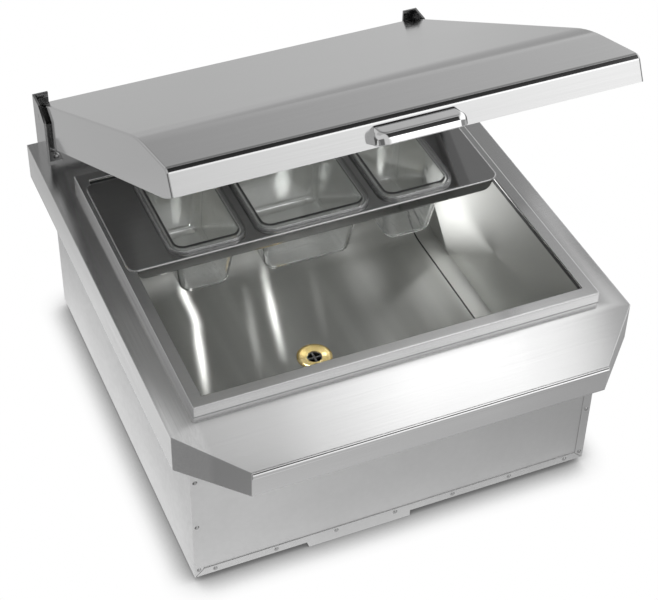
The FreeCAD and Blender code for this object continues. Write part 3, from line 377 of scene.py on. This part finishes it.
# Tone of the floor in reflections, painted light and shade across a range of X: far in front of the
# unit, and then in strips nearer to it, beside it and behind it, each faded in over a range of Y
FLOOR_FAR = ((-0.50, 0.45), ((0.0, 0.26), (0.2, 0.30), (0.35, 0.64), (0.75, 0.66), (1.0, 0.45)))
FLOOR_STRIPS = (
    ((-0.58, -0.48), (-0.50, 0.30), ((0.0, 0.26), (0.12, 0.30), (0.27, 0.92), (1.0, 0.48))),
    ((-0.32, -0.16), (-0.375, 0.375), ((0.0, 0.66), (0.04, 1.1), (0.85, 1.1), (0.95, 0.4))),
    ((0.3, 0.6), (0.2, 3.2), ((0.0, 0.54), (0.2, 0.60), (0.4, 0.50), (1.0, 0.45))),
)


def add_floor():
    """White to the camera but for a painted soft shadow close to the unit; greyer in reflections,
    with painted light and shade in strips.
    """
    bpy.ops.mesh.primitive_plane_add(size=FLOOR_SIZE, location=(0, 0, -FLOOR_DROP))
    floor = bpy.context.object
    floor.name = "floor"
    shader = Shader("floor_white")
    # Painted shadow: the floor's glow is darkened where it lies close to the unit
    shade = shader.node("ShaderNodeAmbientOcclusion", samples=16)
    shade.inputs["Distance"].default_value = SHADE_REACH
    seen = shader.node("ShaderNodeEmission")
    shader.join(shader.ramp(shade.outputs["AO"], greys(FLOOR_SHADE)), seen.inputs["Color"])
    place = shader.place()
    # Painted light and shade in the floor's glow, seen only in reflections
    bounds, stops = FLOOR_FAR
    tone = shader.ramp(shader.span(place["X"], *bounds), greys(stops))
    for fade, bounds, stops in FLOOR_STRIPS:
        strip = shader.ramp(shader.span(place["X"], *bounds), greys(stops))
        tone = shader.mix(tone, strip, shader.span(place["Y"], *fade))
    mirrored = shader.node("ShaderNodeEmission")
    shader.join(tone, mirrored.inputs["Color"])
    path = shader.node("ShaderNodeLightPath")
    choose = shader.node("ShaderNodeMixShader")
    shader.join(path.outputs["Is Glossy Ray"], choose.inputs["Fac"])
    shader.join(seen.outputs["Emission"], choose.inputs[1])
    shader.join(mirrored.outputs["Emission"], choose.inputs[2])
    shader.join(choose.outputs["Shader"], shader.tree.nodes["Material Output"].inputs["Surface"])
    floor.data.materials.append(shader.material)


# Brightness of the studio in all but camera rays, by degrees from the front horizon over the
# top to the rear: for what the lid's bends and pull reflect to the camera, then to either side
# of that, then farther out
STUDIO = (
    (0, 1.08), (20, 1.08), (30, 1.2), (36, 1.5), (51, 1.6), (55, 0.05), (112, 0.03),
    (118, 0.22), (121, 0.8), (124, 0.25), (150, 0.27), (162, 0.40), (180, 0.54),
)
BESIDE = ((0, 0.9), (108, 0.9), (118, 0.65), (150, 0.65), (158, 0.9), (180, 0.9))
ASIDE = ((0, 0.2), (45, 0.2), (62, 0.9), (180, 0.9))
STUDIO_MIDDLE = 0.28
BESIDE_FADE = (0.2, 0.36)
ASIDE_FADE = (0.56, 0.7)
# The studio's strength, from left to right
STRENGTH = {"From Min": 0.1, "From Max": 0.5, "To Min": 0.72, "To Max": 1.4}


def add_world():
    """A studio that is white to the camera, with bright and dark bands to reflect."""
    world = bpy.data.worlds.new("studio")
    bpy.context.scene.world = world
    world.use_nodes = True
    sky = Shader("studio", world.node_tree)
    place = sky.place("Generated")
    across = place["X"]
    above = sky.math("MAXIMUM", place["Z"], 0)
    share = sky.span(sky.math("ARCTAN2", above, sky.math("MULTIPLY", place["Y"], -1)), 0, math.pi)
    bands, beside, aside = (
        sky.ramp(share, [(degrees / 180, grey(level)) for degrees, level in stops])
        for stops in (STUDIO, BESIDE, ASIDE))
    apart = sky.math("ABSOLUTE", sky.math("SUBTRACT", across, STUDIO_MIDDLE))
    tone = sky.mix(bands, beside, sky.span(apart, *BESIDE_FADE))
    tone = sky.mix(tone, aside, sky.span(sky.math("ABSOLUTE", across), *ASIDE_FADE))
    studio = sky.tree.nodes["Background"]
    sky.join(tone, studio.inputs["Color"])
    sideways = sky.node("ShaderNodeMapRange")
    for name, value in STRENGTH.items():
        sideways.inputs[name].default_value = value
    sky.join(across, sideways.inputs["Value"])
    sky.join(sideways.outputs["Result"], studio.inputs["Strength"])
    white = sky.node("ShaderNodeBackground")
    white.inputs["Color"].default_value = (1, 1, 1, 1)
    seen = sky.node("ShaderNodeLightPath")
    choose = sky.node("ShaderNodeMixShader")
    sky.join(seen.outputs["Is Camera Ray"], choose.inputs["Fac"])
    sky.join(studio.outputs["Background"], choose.inputs[1])
    sky.join(white.outputs["Background"], choose.inputs[2])
    sky.join(choose.outputs["Shader"], sky.tree.nodes["World Output"].inputs["Surface"])


def add_light(name, place, aim, width, depth, level):
    """A soft panel; its level is the brightness that a mirror would show."""
    data = bpy.data.lights.new(name, "AREA")
    data.shape = "RECTANGLE"
    data.size = width
    data.size_y = depth
    data.energy = level * math.pi * width * depth
    light = bpy.data.objects.new(name, data)
    light.location = place
    light.rotation_euler = (Vector(aim) - Vector(place)).to_track_quat("-Z", "Y").to_euler()
    light.visible_camera = False
    light.visible_transmission = False
    bpy.context.scene.collection.objects.link(light)
    return light


def grade(light, across, along):
    """Let a panel's brightness vary over its width and its depth."""
    light.data.use_nodes = True
    lamp = Shader(light.name, light.data.node_tree)
    surface = lamp.node("ShaderNodeNewGeometry")
    split = lamp.node("ShaderNodeSeparateXYZ")
    lamp.join(surface.outputs["Parametric"], split.inputs["Vector"])
    wide = lamp.ramp(split.outputs["X"], greys(across))
    deep = lamp.ramp(split.outputs["Y"], greys(along))
    lamp.join(lamp.mix(wide, deep, None, "MULTIPLY"), lamp.tree.nodes["Emission"].inputs["Color"])


add_camera()
add_floor()
add_world()

# A graded panel held under the open lid is what the deck, apron and rim reflect
PANEL_SPOT = Vector((0.10, -0.13, 0.532))
PANEL_FACING = Vector((0, -0.494, -0.870))
PANEL_ACROSS = (
    (0.0, 0.2), (0.10, 0.3), (0.14, 0.62), (0.20, 0.86), (0.25, 0.96), (0.5, 0.96),
    (0.61, 0.69), (0.69, 0.54), (0.76, 0.36), (1.0, 0.2),
)
PANEL_ALONG = ((0.0, 0.10), (0.30, 0.18), (0.42, 0.45), (0.52, 1.0), (1.0, 1.0))
panel = add_light("lid_panel", PANEL_SPOT, PANEL_SPOT + PANEL_FACING, 0.80, 0.44, 1.45)
grade(panel, PANEL_ACROSS, PANEL_ALONG)

# Lamps in the bin give the streaks and light patches on its floor:
# (across, deep, width, length, twist, spread, level)
SOFT = ((0.0, 0.0), (0.25, 0.15), (0.5, 1.0), (0.75, 0.15), (1.0, 0.0))
FADE = ((0.0, 0.0), (0.3, 0.6), (0.55, 1.0), (0.75, 0.6), (1.0, 0.0))
BEAM_HEIGHT = 0.195
STREAKS = (
    (-0.139, 0.150, 0.020, 0.11, -2, 6, 5), (-0.157, 0.060, 0.020, 0.20, -14, 6, 7),
    (-0.073, 0.075, 0.022, 0.20, -15, 6, 1.0), (-0.034, 0.095, 0.020, 0.21, -13, 6, 6),
    (0.033, 0.088, 0.02, 0.18, -15, 8, 0.4), (0.195, 0.03, 0.06, 0.22, -10, 40, 1.0),
    (0.236, 0.0, 0.08, 0.34, 0, 16, 1.6), (0.125, 0.125, 0.08, 0.14, -10, 40, 0.9),
)
for number, (across, deep, width, length, twist, spread, level) in enumerate(STREAKS):
    spot = Vector((across, deep, BEAM_HEIGHT))
    beam = add_light("bin_beam_%d" % number, spot, spot - Vector((0, 0, 1)), width, length, level)
    beam.rotation_euler = (0, 0, math.radians(twist))
    beam.data.spread = math.radians(spread)
    grade(beam, SOFT, FADE)

# A lamp under the tray brightens the rear of the right wall
EVEN = ((0.0, 0.0), (0.3, 0.8), (0.5, 1.0), (0.7, 0.8), (1.0, 0.0))
WALL_LAMP_SPOT = (0.205, 0.165, 0.155)
WALL_LAMP_AIM = (0.254, 0.07, 0.25)
wall_panel = add_light("wall_panel", WALL_LAMP_SPOT, WALL_LAMP_AIM, 0.14, 0.18, 3.1)
grade(wall_panel, EVEN, EVEN)

# Beams at the pans give the glints on the wall behind them: (across, up, width, height)
GLINTS = ((-0.133, 0.225, 0.014, 0.06), (0.027, 0.22, 0.03, 0.055), (0.181, 0.217, 0.014, 0.06))
GLINT_FROM_Y = 0.1
GLINT_TO_Y = 0.2
GLINT_LEVEL = 16
GLINT_SPREAD = math.radians(5)
for number, (across, up, width, height) in enumerate(GLINTS):
    spot, aim = (across, GLINT_FROM_Y, up), (across, GLINT_TO_Y, up)
    beam = add_light("pan_beam_%d" % number, spot, aim, width, height, GLINT_LEVEL)
    beam.data.spread = GLINT_SPREAD
    grade(beam, SOFT, FADE)

# One narrow beam lights the drain
DRAIN_X, DRAIN_Y, DRAIN_TOP = -0.014, -0.008, 0.09
DRAIN_BEAM_WIDTH = 0.044
beam = add_light(
    "drain_beam", (DRAIN_X, DRAIN_Y, BEAM_HEIGHT), (DRAIN_X, DRAIN_Y, DRAIN_TOP),
    DRAIN_BEAM_WIDTH, DRAIN_BEAM_WIDTH, 1.2)
beam.data.shape = "DISK"
beam.data.spread = math.radians(2)

# A soft lamp at the front left, kept out of reflections
fill = add_light("front_fill", (-0.9, -1.5, 1.15), (0.15, 0.05, 0.2), 0.5, 0.5, 12)
fill.visible_glossy = False

view = bpy.context.scene.view_settings
view.view_transform = "Standard"
